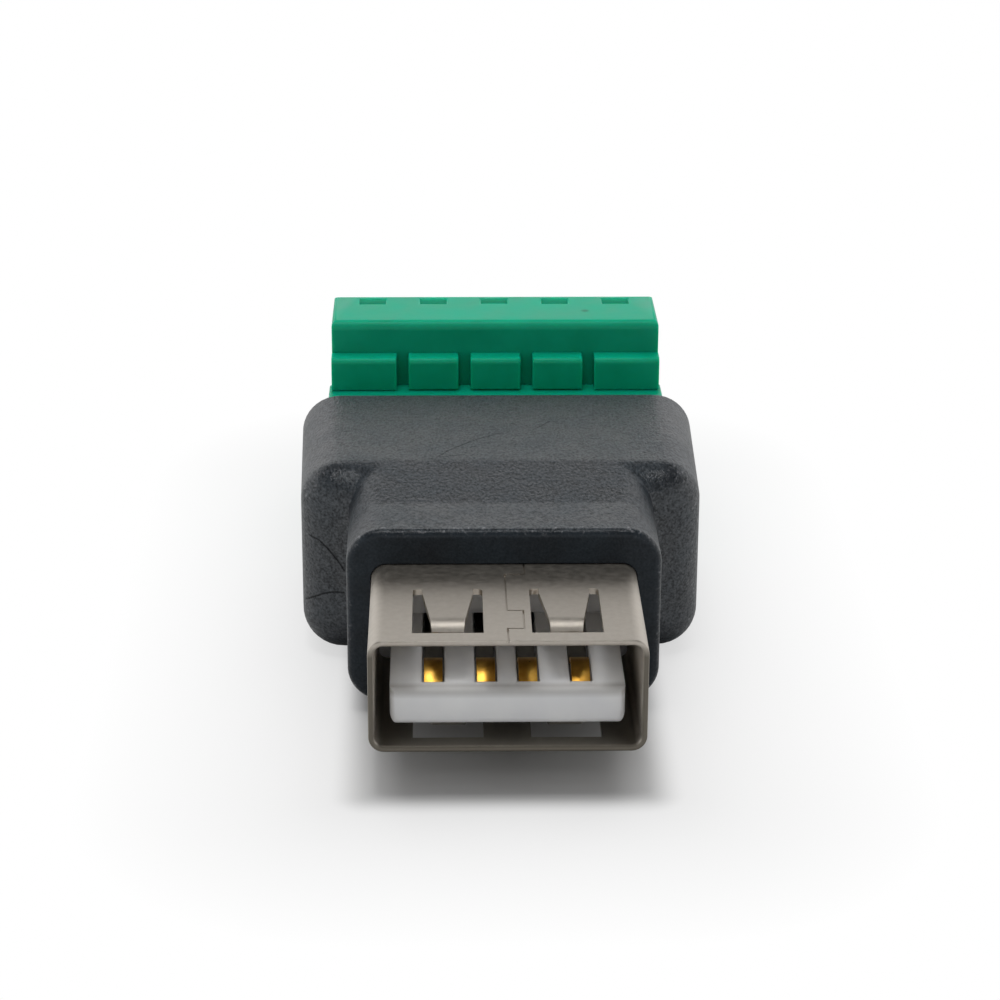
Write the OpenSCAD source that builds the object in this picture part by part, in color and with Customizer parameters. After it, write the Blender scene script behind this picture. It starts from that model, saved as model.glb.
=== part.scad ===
// USB socket to pluggable terminal block adapter.
// Millimetres. +Y runs from the socket mouth to the terminal block, +X is right, +Z is up.
// Inside the modules Y starts at the socket mouth and Z at the socket axis.
// in_frame() then puts the origin under the middle of the part.

/* [Socket shell] */
// outside width of the metal shell
shell_width = 13.1; // [12.7:0.1:13.6]
// outside height of the metal shell
shell_height = 5.7; // [5.5:0.1:6.1]
// sheet thickness of the shell
shell_wall = 0.3; // [0.2:0.05:0.4]
// outside corner radius of the shell
shell_corner = 0.75; // [0.6:0.05:1.3]
// how far the shell stands out of the moulding
shell_reach = 9.2; // [8.4:0.1:11]
// how far the shell runs on inside the moulding
shell_tail = 5.2; // [4.4:0.1:5.6]
// width of the window round a spring tab
window_width = 3.35; // [3:0.05:3.6]
// length of the window round a spring tab
window_length = 5.2; // [4.4:0.1:5.6]
// metal left between the mouth and a window
window_setback = 0.95; // [0.7:0.05:1.3]
// distance between the two windows of a wall, centre to centre
window_spacing = 5.6; // [5.2:0.1:6]
// slit on each side of a spring tab at its root
spring_slit = 0.46; // [0.3:0.02:0.6]
// width of a spring tab at its tip
spring_tip_width = 1.5; // [1.2:0.02:1.8]
// distance from the front edge of a window to the tip of its spring tab
spring_clear = 1.25; // [0.9:0.05:1.6]
// how far a spring tab sinks from its root to its lip
spring_sag = 0.08; // [0.04:0.01:0.12]
// radius of the lip that is rolled in at the tip of a spring tab
lip_radius = 1; // [0.8:0.05:1.2]
// angle of that lip at its tip, degrees
lip_turn = 55; // [40:1:60]
// width of the dovetailed seam line
seam_width = 0.09; // [0.04:0.01:0.12]
// depth of the dovetailed seam line
seam_depth = 0.12; // [0.05:0.01:0.15]
// width of the dovetail that locks the seam
seam_tooth = 0.78; // [0.5:0.02:1]
// distance from the mouth to the dovetail
seam_tooth_setback = 1.45; // [1:0.05:2]
// length of the dovetail
seam_tooth_length = 2.1; // [1.5:0.1:3]
// side step of the seam behind the dovetail
seam_step = 0.95; // [0.6:0.05:1.2]
// distance from the mouth to that side step
seam_step_setback = 7.95; // [7:0.05:8.2]
// width of a solder leg of the shell
leg_width = 1.4; // [1:0.1:2]
// distance from the moulding's front to the middle of a solder leg
leg_setback = 3.3; // [3:0.1:3.8]

/* [Socket insulator and contacts] */
// width of the tongue
tongue_width = 11.1; // [10.8:0.05:11.4]
// thickness of the tongue
tongue_thickness = 1.84; // [1.6:0.02:2]
// tongue tip behind the shell mouth
tongue_recess = 1.05; // [0.5:0.05:1.4]
// height of the contact side of the tongue, measured from the socket axis
tongue_face = -0.07; // [-0.2:0.01:0.1]
// bottom corner radius of the tongue
tongue_corner = 0.55; // [0.2:0.05:0.6]
// radius of the tongue's nose, top and bottom
tongue_nose = 0.3; // [0.15:0.05:0.5]
// radius of the tongue's nose at its two sides
tongue_cheek = 0.4; // [0.2:0.05:0.6]
// depth of the socket from its mouth to the insulator block
socket_depth = 10; // [9.4:0.1:10.6]
// width of a contact slot
slot_width = 1.08; // [1:0.02:1.2]
// depth of a contact slot
slot_depth = 0.9; // [0.8:0.05:1.1]
// plastic left between the tongue tip and a slot
slot_setback = 0.8; // [0.6:0.05:1.1]
// distance of the outer contacts from the middle
contact_outer = 3.5; // [3.4:0.05:3.6]
// distance of the inner contacts from the middle
contact_inner = 1; // [0.9:0.05:1.1]
// width of a contact spring
contact_width = 0.9; // [0.7:0.02:0.96]
// thickness of a contact spring
contact_thickness = 0.2; // [0.15:0.01:0.25]
// distance from the tip of a contact to the top of its bow
bow_setback = 1.6; // [1.2:0.1:2.2]
// distance from the tip of a contact to its straight run
run_setback = 4; // [3.4:0.1:5]
// inner bend radius of a contact above its tail
contact_bend = 0.25; // [0.15:0.05:0.4]
// distance from the shell's end to the contact tails
tail_setback = 0.9; // [0.6:0.05:1.2]
// how far a contact bows out of the tongue
contact_bow = 0.35; // [0.2:0.05:0.5]

/* [Housing] */
// thickness of the collar beside the socket shell
collar_wall = 1.25; // [1.05:0.05:1.75]
// thickness of the collar over and under the socket shell
collar_cover = 1.77; // [1.65:0.01:2.05]
// length of the collar up to the shoulders
collar_length = 6.55; // [6.2:0.05:8]
// how far the body's shoulders stand out beyond the header on each side
body_margin = 0.975; // [0.8:0.025:1.6]
// how much wider the body is at its rear end
body_flare = 0.7; // [0:0.1:1.5]
// height of the body
body_height = 10.3; // [10:0.1:11.4]
// length of the body behind the shoulders
body_length = 12.4; // [11.8:0.1:15]
// corner radius of the collar's section
collar_corner = 1.8; // [1.4:0.1:2.2]
// corner radius of the body's section
body_corner = 2.1; // [1.6:0.1:2.4]
// radius at the front edge of the collar
collar_edge = 0.4; // [0.3:0.05:0.9]
// size of the hollow where the collar and its ramp meet the shoulders
shoulder_fillet = 0.8; // [0.4:0.05:1]
// radius of the body's front edge, all round
shoulder_round = 2.05; // [1.6:0.05:2.3]
// how far the shoulder faces lean back, degrees
shoulder_lean = 18; // [12:1:30]
// radius at the rear edge of the body
rear_edge = 0.25; // [0.1:0.05:0.5]
// flat part of the collar before the ramp
collar_flat = 3.8; // [2.5:0.1:4.5]
// length of the ramp from the collar up to the body
rise_length = 4.8; // [3.5:0.1:6]
// half length of the soft crease at each end of the ramp
crease_soft = 0.3; // [0.15:0.05:0.6]

/* [Circuit board] */
// thickness of the board
board_thickness = 0.8; // [0.6:0.05:1]
// board left outside the socket shell on each side
board_margin = 0.55; // [0.45:0.05:0.65]
// how far the board's wide part stops short of the row of poles on each side
board_inset = 0.15; // [0.05:0.05:0.35]
// distance from the moulding's front to the board
board_setback = 1.6; // [1.2:0.1:2]
// distance from the shoulders to the board's wide part
board_step = 1.4; // [1:0.1:2.4]
// how far the board runs under the header
board_under_header = 2.8; // [2:0.1:3.6]
// how far legs and pins stand out under the board
leg_tip = 0.3; // [0.2:0.05:0.35]

/* [Header] */
// distance between poles
pole_pitch = 3.5; // [3.5:0.01:3.81]
// how far the header reaches beyond the row of poles on each side
header_margin = 0.65; // [0.55:0.05:0.95]
// outside height of the header
header_height = 6.92; // [6.8:0.02:7.2]
// depth of the header from back to mouth
header_depth = 9.2; // [9:0.1:9.8]
// how far the header stands out behind the housing
header_reach = 4.85; // [4:0.05:5.4]
// thickness of the header's top and bottom walls
header_wall = 0.86; // [0.7:0.02:0.9]
// thickness of the header's side walls
header_side_wall = 1; // [0.8:0.05:1.1]
// thickness of the header's floor
header_floor = 2; // [1.6:0.1:2.4]
// side of a square header pin
pin_size = 0.8; // [0.7:0.02:0.9]
// height of the pins above the board
pin_height = 3.46; // [3.4:0.02:3.56]
// how far a pin stands up from the header's floor
pin_reach = 5.8; // [5:0.1:6]
// distance from the header's back to the bent leg of a pin
pin_setback = 0.6; // [0.4:0.05:1]
// width of a coding rib on the plug's nose
rib_width = 1.4; // [1:0.1:1.8]
// height of a coding rib on the plug's nose
rib_height = 0.35; // [0.2:0.05:0.4]

/* [Plug] */
// how far the plug reaches beyond the row of poles on each side
plug_margin = 0.5; // [0.35:0.05:0.65]
// length of the plug behind the header's mouth
plug_length = 8.9; // [8.8:0.1:10]
// height of the plug's top above the pins
plug_rise = 7.16; // [7.1:0.02:7.6]
// depth of the plug's underside below the pins
plug_drop = 3.94; // [3.9:0.02:4.2]
// distance from the plug's front wall to the ridge of its roof
ridge_setback = 4.75; // [4.4:0.05:5]
// fall of the roof behind the ridge, degrees
roof_fall = 24; // [20:1:26]
// edge radius along the front of the plug's top
top_edge = 0.5; // [0.2:0.05:0.6]
// edge radius along the two sides of the plug's top
side_edge = 0.3; // [0.15:0.05:0.45]
// how far the row of keys stands out of the plug's front wall
key_depth = 1.2; // [0.9:0.05:1.4]
// height of the row of keys above the header
key_height = 1.84; // [1.6:0.02:2.2]
// edge radius along the front of the keys
key_edge = 0.3; // [0.15:0.05:0.45]
// gap between two keys
key_gap = 0.68; // [0.5:0.02:1]
// distance from the ridge to a notch in front of it
notch_setback = 0.3; // [0.2:0.05:0.5]
// length of a notch
notch_length = 1; // [0.7:0.05:1.3]
// width of a notch
notch_width = 1.5; // [1.2:0.05:1.9]
// depth of a notch
notch_depth = 0.3; // [0.2:0.05:0.5]
// distance from the plug's front wall to the screws
screw_setback = 5.9; // [5.8:0.05:6]
// width of a clamp chamber
chamber_width = 2.9; // [2.86:0.02:3]
// thickness of the plug's floor under a clamp
plug_floor = 0.6; // [0.5:0.05:0.65]
// plastic between a clamp chamber and the screw head
chamber_ceiling = 0.45; // [0.4:0.05:0.6]
// side of a square wire entry
entry_size = 2.1; // [1.8:0.05:2.2]
// side of the funnel in front of a wire entry
entry_funnel = 2.7; // [2.4:0.05:2.8]
// depth of the funnel in front of a wire entry
funnel_depth = 0.45; // [0.3:0.05:0.6]

/* [Clamp and screw] */
// width of a cage
cage_width = 2.7; // [2.5:0.02:2.74]
// length of a cage
cage_length = 4; // [3.6:0.05:4.1]
// sheet thickness of a cage's sides and bottom
cage_sheet = 0.4; // [0.3:0.02:0.44]
// thickness of the threaded top of a cage
cage_top = 1.2; // [1:0.05:1.3]
// space for the wire in an open clamp
wire_space = 2.1; // [2.05:0.01:2.2]
// how far a cage rises
cage_lift = 2; // [1.6:0.05:2]
// thickness of a clamping bar
bar_thickness = 0.6; // [0.5:0.02:0.7]
// width of a clamping bar and its spring
bar_width = 1.7; // [1.4:0.05:1.75]
// thickness of the plug's spring leaves
leaf_thickness = 0.25; // [0.2:0.01:0.3]
// diameter of the screw's thread
thread_diameter = 1.9; // [1.6:0.05:2]
// diameter of the screw's head
head_diameter = 2.5; // [2.3:0.05:2.6]
// height of the screw's head
head_height = 1.2; // [1:0.05:1.4]
// width of the screw's slot
drive_width = 0.45; // [0.35:0.05:0.6]
// depth of the screw's slot
drive_depth = 0.55; // [0.4:0.05:0.7]
// diameter of the access hole over a screw
access_diameter = 2.3; // [2.1:0.05:2.4]

/* [Fits] */
// gap between moulding and the pieces it holds
mould_gap = 0.03; // [0.02:0.01:0.05]
// gap between a flat piece and the piece that guides it
guide_gap = 0.1; // [0.06:0.01:0.12]
// radial running gap of the screws
running_gap = 0.05; // [0.03:0.01:0.08]
// gap between a contact and what it bears on
bearing_gap = 0.05; // [0.03:0.01:0.08]
// gap between the plug and the header's mouth
plug_gap = 0.1; // [0.05:0.01:0.2]

/* [Hidden] */

pole_count = 5;
poles = [for (i = [0 : pole_count - 1]) (i - (pole_count - 1) / 2) * pole_pitch];
contact_places = [-contact_outer, -contact_inner, contact_inner, contact_outer];
// reach of a cut beyond the face it opens
cut = 1;
smooth = 48;

// places along the part, from the socket mouth
shell_length = shell_reach + shell_tail;
shoulder_y = shell_reach + collar_length;
rear_y = shoulder_y + body_length;
mouth_y = rear_y + header_reach;
header_y = mouth_y - header_depth;
floor_y = header_y + header_floor;
plug_y = mouth_y + plug_gap;
end_y = plug_y + plug_length;
ridge_y = plug_y + ridge_setback;
screw_y = plug_y + screw_setback;
cage_front_y = screw_y - cage_length / 2;
chamber_front_y = cage_front_y - guide_gap;
chamber_rear_y = screw_y + cage_length / 2 + guide_gap;
nose_y = floor_y + 2 * plug_gap;
insulator_end_y = shell_length - mould_gap;
tail_y = shell_length + tail_setback;
pin_leg_y = header_y - pin_setback;
leg_y = shell_reach + leg_setback;
board_front_y = shell_reach + board_setback;
board_wide_y = shoulder_y + board_step;
board_end_y = header_y + board_under_header;

// heights, from the socket axis
inner_height = shell_height - 2 * shell_wall;
board_top = -shell_height / 2 - mould_gap;
board_bottom = board_top - board_thickness;
leg_bottom = board_bottom - leg_tip;
header_top = board_top + header_height;
pin_z = board_top + pin_height;
nose_half_height = pin_z - board_top - header_wall - guide_gap;
cavity_top = header_top - header_wall;
cavity_bottom = board_top + header_wall;
key_bottom = header_top + bearing_gap;
plug_top = pin_z + plug_rise;
plug_bottom = pin_z - plug_drop;
chamber_bottom = plug_bottom + plug_floor;
cage_bottom = chamber_bottom + bearing_gap;
bar_bottom = cage_bottom + cage_sheet + wire_space;
bar_top = bar_bottom + bar_thickness;
cage_window_top = bar_top + guide_gap;
cage_height = cage_window_top + cage_top - cage_bottom;
chamber_top = cage_bottom + cage_height + cage_lift + guide_gap;
head_bottom = chamber_top + chamber_ceiling;
head_top = head_bottom + head_height;
screw_tip = bar_top + bearing_gap;
entry_z = (cage_bottom + cage_sheet + bar_bottom) / 2;
slot_bottom = tongue_face - slot_depth;
contact_low = slot_bottom + bearing_gap;

// sizes that follow from others
collar_width = shell_width + 2 * collar_wall;
collar_height = shell_height + 2 * collar_cover;
board_neck_width = shell_width + 2 * board_margin;
pole_row = pole_count * pole_pitch;
header_width = pole_row + 2 * header_margin;
plug_width = pole_row + 2 * plug_margin;
board_width = pole_row - 2 * board_inset;
body_front_width = header_width + 2 * body_margin;
nose_width = header_width - 2 * header_side_wall - 2 * guide_gap;
shell_inner_width = shell_width - 2 * shell_wall;
shell_inner_corner = shell_corner - shell_wall;
shoulder_step = (body_front_width - collar_width) / 2;
spring_half = pin_size / 2 + bearing_gap;
tunnel_half = spring_half + 2 * leaf_thickness + 2 * guide_gap;

// standing height of the socket axis and the middle of the length
axis_height = body_height / 2;
middle_y = end_y / 2;

module in_frame() {
    translate([0, -middle_y, axis_height])
        children();
}

// a flat outline in X and Z, drawn out from y0 to y1
module along_y(y0, y1) {
    translate([0, y1, 0])
        rotate([90, 0, 0])
            linear_extrude(height = y1 - y0)
                children();
}

// a side outline in Y and Z, drawn out over a width in X
module across_x(width) {
    rotate([90, 0, 90])
        translate([0, 0, -width / 2])
            linear_extrude(height = width)
                children();
}

module rounded_rect(w, h, r) {
    square([w - 2 * r, h], center = true);
    square([w, h - 2 * r], center = true);
    for (sx = [-1, 1], sz = [-1, 1])
        translate([sx * (w / 2 - r), sz * (h / 2 - r)])
            circle(r = r, $fn = smooth);
}

module box(x, y0, y1, z0, z1) {
    translate([-x / 2, y0, z0])
        cube([x, y1 - y0, z1 - z0]);
}

// outline of a bent strip: one face follows a path, the other lies a thickness to the left of it
function turned(v) = [-v[1], v[0]] / norm(v);
function across_path(path, i) = turned(path[min(i + 1, len(path) - 1)] - path[max(i - 1, 0)]);
function strip(path, t) = concat(path,
    [for (i = [len(path) - 1 : -1 : 0]) path[i] + t * across_path(path, i)]);

// The housing's skin is a stack of rings across Y. Each ring follows a rounded neck (the collar and its ramp)
// or the rounded body, whichever reaches farther, with a hollow where the one comes out of the other.
arc_steps = 6;
corner_steps = 16;
face_steps = 8;
round_steps = 9;
// rings lie on multiples of this step, so that no two of them come too close
ring_step = 0.02;

ramp_y = shell_reach + collar_flat;
ramp_end_y = ramp_y + rise_length;
body_start_y = shoulder_y + shoulder_round;
round_y = body_start_y - shoulder_round * cos(shoulder_lean);
round_inset = shoulder_round * (1 - sin(shoulder_lean));
face_y = round_y - (shoulder_step + shoulder_fillet - round_inset) * tan(shoulder_lean);

// 0 before a slope, 1 after it and straight between, with a soft bend of half length e at both ends
function slope(u, e) = u <= -e ? 0 : u < e ? pow(u + e, 2) / (4 * e) : u <= 1 - e ? u
    : u < 1 + e ? 1 - pow(1 + e - u, 2) / (4 * e) : 1;
function half_height(y) = collar_height / 2
    + (body_height - collar_height) / 2 * slope((y - ramp_y) / rise_length, crease_soft / rise_length);
function body_half_width(y) = body_front_width / 2
    + body_flare / 2 * (y - body_start_y) / (rear_y - body_start_y);
// how far the body's outline draws in at its front: a leaning face, then a round edge
function body_inset(y) = y >= body_start_y ? 0
    : y >= round_y ? shoulder_round - sqrt(pow(shoulder_round, 2) - pow(body_start_y - y, 2))
    : round_inset + (round_y - y) / tan(shoulder_lean);

// distance from the middle of a rounded rectangle to its edge, at an angle
function reach(a, w, h, r) = let(c = abs(cos(a)), s = abs(sin(a)))
    w * s <= (h - r) * c ? w / c
    : h * c <= (w - r) * s ? h / s
    : let(m = (w - r) * c + (h - r) * s) m + sqrt(max(0, m * m - pow(w - r, 2) - pow(h - r, 2) + r * r));
// the larger of two values, with a soft change over from one to the other
function blended(a, b, soft) = soft <= 0 ? max(a, b)
    : max(a, b) + pow(max(soft - abs(a - b), 0), 2) / (4 * soft);
// distance of the skin from the axis; back is what an edge radius takes off
function skin(a, y, back) = let(inset = body_inset(y) + back,
        neck = reach(a, collar_width / 2 - back, half_height(y) - back, collar_corner - back))
    inset > shoulder_step + shoulder_fillet ? neck
    : blended(neck,
        reach(a, body_half_width(y) - inset, body_height / 2 - inset, max(0, body_corner - inset)),
        shoulder_fillet * min(1, 2 * body_inset(y) / shoulder_round));

// the corners of all rings lie between two angles
corner_from = atan((body_height / 2 - body_corner) / body_half_width(rear_y));
corner_to = atan(body_height / 2 / (collar_width / 2 - collar_corner));
corner_angles = [for (i = [0 : corner_steps]) corner_from + (corner_to - corner_from) * i / corner_steps];
ring_angles = concat(corner_angles, [for (i = [corner_steps : -1 : 0]) 180 - corner_angles[i]],
    [for (a = corner_angles) 180 + a], [for (i = [corner_steps : -1 : 0]) 360 - corner_angles[i]]);

function sorted(v) = len(v) == 0 ? [] : let(p = v[floor(len(v) / 2)])
    concat(sorted([for (x = v) if (x < p) x]), [p], sorted([for (x = v) if (x > p) x]));
crease_rows = [for (y = [ramp_y, ramp_end_y], i = [-2 : 2]) y + crease_soft * i / 2];
face_rows = [for (i = [0 : face_steps - 1]) face_y + (round_y - face_y) * i / face_steps];
round_rows = [for (i = [0 : round_steps]) let(t = shoulder_lean + (90 - shoulder_lean) * i / round_steps)
    body_start_y - shoulder_round * cos(t)];
middle_rows = [(ramp_y + face_y) / 2, (ramp_end_y + rear_y) / 2];
inner_rows = sorted([for (y = concat(crease_rows, face_rows, round_rows, middle_rows))
    round(y / ring_step)]) * ring_step;
// each ring is [y, what an edge radius takes off]
rings = concat(
    [for (i = [0 : arc_steps]) let(t = 90 * i / arc_steps)
        [shell_reach + collar_edge * (1 - cos(t)), collar_edge * (1 - sin(t))]],
    [for (y = inner_rows) [y, 0]],
    [for (i = [0 : arc_steps]) let(t = 90 * i / arc_steps)
        [rear_y - rear_edge * (1 - sin(t)), rear_edge * (1 - cos(t))]]);

// the middle of each end is a point too, so that no triangle lies along a straight side
module housing_form() {
    count = len(ring_angles);
    last = len(rings) - 1;
    front = count * len(rings);
    points = concat([for (k = rings, a = ring_angles) let(r = skin(a, k[0], k[1]))
            [r * cos(a), k[0], r * sin(a)]],
        [[0, shell_reach, 0], [0, rear_y, 0]]);
    walls = [for (k = [0 : last - 1], j = [0 : count - 1]) let(n = (j + 1) % count,
            low = k * count, high = low + count)
        each [[low + j, low + n, high + n], [low + j, high + n, high + j]]];
    ends = [for (j = [0 : count - 1]) let(n = (j + 1) % count)
        each [[front, n, j], [front + 1, last * count + j, last * count + n]]];
    polyhedron(points = points, faces = concat(walls, ends));
}

module overmould_housing() {
    color("#2b2e30") in_frame() difference() {
        housing_form();
        // seat of the socket
        along_y(shell_reach - cut, shell_length + mould_gap)
            rounded_rect(shell_width + 2 * mould_gap, shell_height + 2 * mould_gap,
                shell_corner + mould_gap);
        // seat of the board
        translate([0, 0, board_bottom - mould_gap])
            linear_extrude(height = board_thickness + 2 * mould_gap)
                board_outline(mould_gap);
        // room for the legs of the shell
        for (side = [-1, 1])
            translate([side * (shell_width - shell_wall) / 2, 0, 0])
                box(shell_wall + 2 * guide_gap, leg_y - leg_width / 2 - guide_gap,
                    leg_y + leg_width / 2 + guide_gap, leg_bottom - guide_gap, 0);
        // room for the contact tails
        box(2 * contact_outer + contact_width + 2 * guide_gap,
            shell_length, tail_y + contact_thickness + guide_gap,
            leg_bottom - guide_gap, slot_bottom + 2 * contact_thickness + guide_gap);
        // room for the bent pins
        box((pole_count - 1) * pole_pitch + pin_size + 2 * guide_gap, pin_leg_y - pin_size - guide_gap,
            header_y, leg_bottom - guide_gap, pin_z + pin_size / 2 + guide_gap);
        // seat of the header
        box(header_width + 2 * mould_gap, header_y - mould_gap, rear_y + cut,
            board_top, header_top + mould_gap);
        box(header_width + 2 * mould_gap, board_end_y, rear_y + cut,
            board_top - mould_gap, board_top + mould_gap);
    }
}

// outline of one spring tab's window, with round inner ends
module window_outline() {
    r = spring_slit / 2;
    translate([-window_width / 2, window_setback])
        square([window_width, window_length - r]);
    translate([-window_width / 2 + r, window_setback])
        square([window_width - 2 * r, window_length]);
    for (side = [-1, 1])
        translate([side * (window_width / 2 - r), window_setback + window_length - r])
            circle(r = r, $fn = smooth);
}

// spring tab of the top wall: it runs level from its root and rolls into the socket at its tip
module spring_tab() {
    outer = shell_height / 2;
    root = window_setback + window_length;
    tip = window_setback + spring_clear;
    bend = tip + lip_radius * sin(lip_turn);
    root_half = window_width / 2 - spring_slit;
    face = concat([[root + shell_wall, outer], [root - spring_slit, outer]],
        [for (i = [0 : arc_steps]) let(t = lip_turn * i / arc_steps)
            [bend - lip_radius * sin(t), outer - spring_sag - lip_radius * (1 - cos(t))]]);
    intersection() {
        across_x(window_width)
            polygon(strip(face, shell_wall));
        linear_extrude(height = outer + cut)
            polygon([[-spring_tip_width / 2, tip], [spring_tip_width / 2, tip],
                [root_half, root - spring_slit], [root_half, root + shell_wall],
                [-root_half, root + shell_wall], [-root_half, root - spring_slit]]);
    }
}

// seam of the rolled sheet: it runs back from the mouth round the dovetail and then steps aside
module seam_line() {
    tooth_rear = seam_tooth_setback + seam_tooth_length;
    route = [[0, -cut], [0, seam_tooth_setback], [seam_tooth, seam_tooth_setback], [seam_tooth, tooth_rear],
        [0, tooth_rear], [0, seam_step_setback], [seam_step, seam_step_setback],
        [seam_step, shell_length + cut]];
    translate([0, 0, shell_height / 2 - seam_depth])
        linear_extrude(height = seam_depth + cut)
            for (i = [1 : len(route) - 1]) {
                low = [min(route[i - 1][0], route[i][0]), min(route[i - 1][1], route[i][1])];
                high = [max(route[i - 1][0], route[i][0]), max(route[i - 1][1], route[i][1])];
                translate(low - [seam_width, seam_width] / 2)
                    square(high - low + [seam_width, seam_width]);
            }
}

module usb_shell() {
    color("#b5aea4") in_frame() {
        difference() {
            along_y(0, shell_length)
                rounded_rect(shell_width, shell_height, shell_corner);
            along_y(-cut, shell_length + cut)
                rounded_rect(shell_inner_width, inner_height, shell_inner_corner);
            for (flip = [0, 1], side = [-1, 1])
                mirror([0, 0, flip])
                    translate([side * window_spacing / 2, 0, inner_height / 2 - shell_wall / 2])
                        linear_extrude(height = shell_wall * 2)
                            window_outline();
            seam_line();
        }
        for (flip = [0, 1], side = [-1, 1])
            mirror([0, 0, flip])
                translate([side * window_spacing / 2, 0, 0])
                    spring_tab();
        for (side = [-1, 1])
            translate([side * (shell_width - shell_wall) / 2, 0, 0])
                box(shell_wall, leg_y - leg_width / 2, leg_y + leg_width / 2, leg_bottom, 0);
    }
}

module tongue_section() {
    translate([-tongue_width / 2, -tongue_thickness + tongue_corner])
        square([tongue_width, tongue_thickness - tongue_corner]);
    translate([-tongue_width / 2 + tongue_corner, -tongue_thickness])
        square([tongue_width - 2 * tongue_corner, tongue_thickness]);
    for (side = [-1, 1])
        translate([side * (tongue_width / 2 - tongue_corner), -tongue_thickness + tongue_corner])
            circle(r = tongue_corner, $fn = smooth);
}

// side outline of the tongue, with its round nose
module tongue_side() {
    translate([tongue_recess + tongue_nose, -tongue_thickness])
        square([socket_depth + cut - tongue_recess - tongue_nose, tongue_thickness]);
    translate([tongue_recess, tongue_nose - tongue_thickness])
        square([2 * tongue_nose, tongue_thickness - 2 * tongue_nose]);
    for (z = [-tongue_nose, tongue_nose - tongue_thickness])
        translate([tongue_recess + tongue_nose, z])
            circle(r = tongue_nose, $fn = smooth);
}

// plan outline of the tongue, with its round cheeks
module tongue_plan() {
    translate([-tongue_width / 2, tongue_recess + tongue_cheek])
        square([tongue_width, socket_depth + cut - tongue_recess - tongue_cheek]);
    translate([tongue_cheek - tongue_width / 2, tongue_recess])
        square([tongue_width - 2 * tongue_cheek, 2 * tongue_cheek]);
    for (side = [-1, 1])
        translate([side * (tongue_width / 2 - tongue_cheek), tongue_recess + tongue_cheek])
            circle(r = tongue_cheek, $fn = smooth);
}

module usb_insulator() {
    color("#d4d5d3") in_frame() difference() {
        union() {
            along_y(socket_depth, insulator_end_y)
                rounded_rect(shell_inner_width - 2 * mould_gap, inner_height - 2 * mould_gap,
                    shell_inner_corner - mould_gap);
            translate([0, 0, tongue_face])
                intersection() {
                    along_y(tongue_recess, socket_depth + cut)
                        tongue_section();
                    across_x(tongue_width)
                        tongue_side();
                    translate([0, 0, -tongue_thickness])
                        linear_extrude(height = tongue_thickness)
                            tongue_plan();
                }
        }
        for (x = contact_places)
            translate([x, 0, 0]) {
                box(slot_width, tongue_recess + slot_setback, shell_length + cut,
                    slot_bottom, tongue_face);
                box(slot_width, tongue_recess + slot_setback, socket_depth,
                    tongue_face - slot_depth / 2, tongue_face + cut);
            }
    }
}

// contact spring: bowed tip, straight run in its slot and a tail bent down into the board
module usb_contact(x) {
    t = contact_thickness;
    tip = tongue_recess + slot_setback + guide_gap;
    bow = tip + bow_setback;
    run = tip + run_setback;
    height = tongue_face + contact_bow - t - contact_low;
    front = [for (i = [0 : arc_steps]) let(u = 90 * (1 - i / arc_steps))
        [bow - bow_setback * u / 90, contact_low + height - (height - t) * (1 - cos(u))]];
    fall = [for (i = [1 : arc_steps]) let(u = i / arc_steps)
        [bow + (run - bow) * u, contact_low + height * (1 + cos(180 * u)) / 2]];
    bend = [for (i = [0 : arc_steps]) let(u = 90 * i / arc_steps)
        [tail_y - contact_bend * (1 - sin(u)), contact_low - contact_bend * (1 - cos(u))]];
    color("#c9a04a") in_frame() translate([x, 0, 0])
        across_x(contact_width)
            polygon(strip(concat(front, fall, bend, [[tail_y, leg_bottom]]), t));
}

module board_outline(grow) {
    translate([-board_neck_width / 2 - grow, board_front_y - grow])
        square([board_neck_width + 2 * grow, board_end_y - board_front_y + 2 * grow]);
    translate([-board_width / 2 - grow, board_wide_y - grow])
        square([board_width + 2 * grow, board_end_y - board_wide_y + 2 * grow]);
}

module circuit_board() {
    color("#2f5d3a") in_frame() translate([0, 0, board_bottom])
        linear_extrude(height = board_thickness)
            difference() {
                board_outline(0);
                for (x = contact_places)
                    translate([x, tail_y + contact_thickness / 2])
                        circle(d = contact_width + 2 * guide_gap, $fn = smooth);
                for (x = poles)
                    translate([x, pin_leg_y - pin_size / 2])
                        circle(d = pin_size * sqrt(2) + guide_gap, $fn = smooth);
                for (side = [-1, 1])
                    translate([side * (shell_width - shell_wall) / 2, leg_y])
                        square([shell_wall + 2 * guide_gap, leg_width + 2 * guide_gap], center = true);
            }
}

module header_body() {
    color("#1f8a68") in_frame() difference() {
        box(header_width, header_y, mouth_y, board_top, header_top);
        // room for the plug's nose
        box(header_width - 2 * header_side_wall, floor_y, mouth_y + cut, cavity_bottom, cavity_top);
        for (x = poles)
            translate([x, 0, 0]) {
                // groove for a coding rib
                box(rib_width + 2 * guide_gap, floor_y, mouth_y + cut,
                    cavity_top - cut, cavity_top + rib_height);
                // hole for a pin
                box(pin_size + 2 * mould_gap, header_y - cut, floor_y + cut,
                    pin_z - pin_size / 2 - mould_gap, pin_z + pin_size / 2 + mould_gap);
            }
    }
}

module header_pin(i) {
    top = pin_z + pin_size / 2;
    low = pin_z - pin_size / 2;
    tip = floor_y + pin_reach;
    point = pin_size / 4;
    color("#bfc1c0") in_frame() translate([poles[i - 1], 0, 0])
        across_x(pin_size)
            polygon([[pin_leg_y - pin_size, leg_bottom], [pin_leg_y, leg_bottom], [pin_leg_y, low],
                [tip - 2 * point, low], [tip, low + point], [tip, top - point], [tip - 2 * point, top],
                [pin_leg_y - pin_size, top]]);
}

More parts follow.
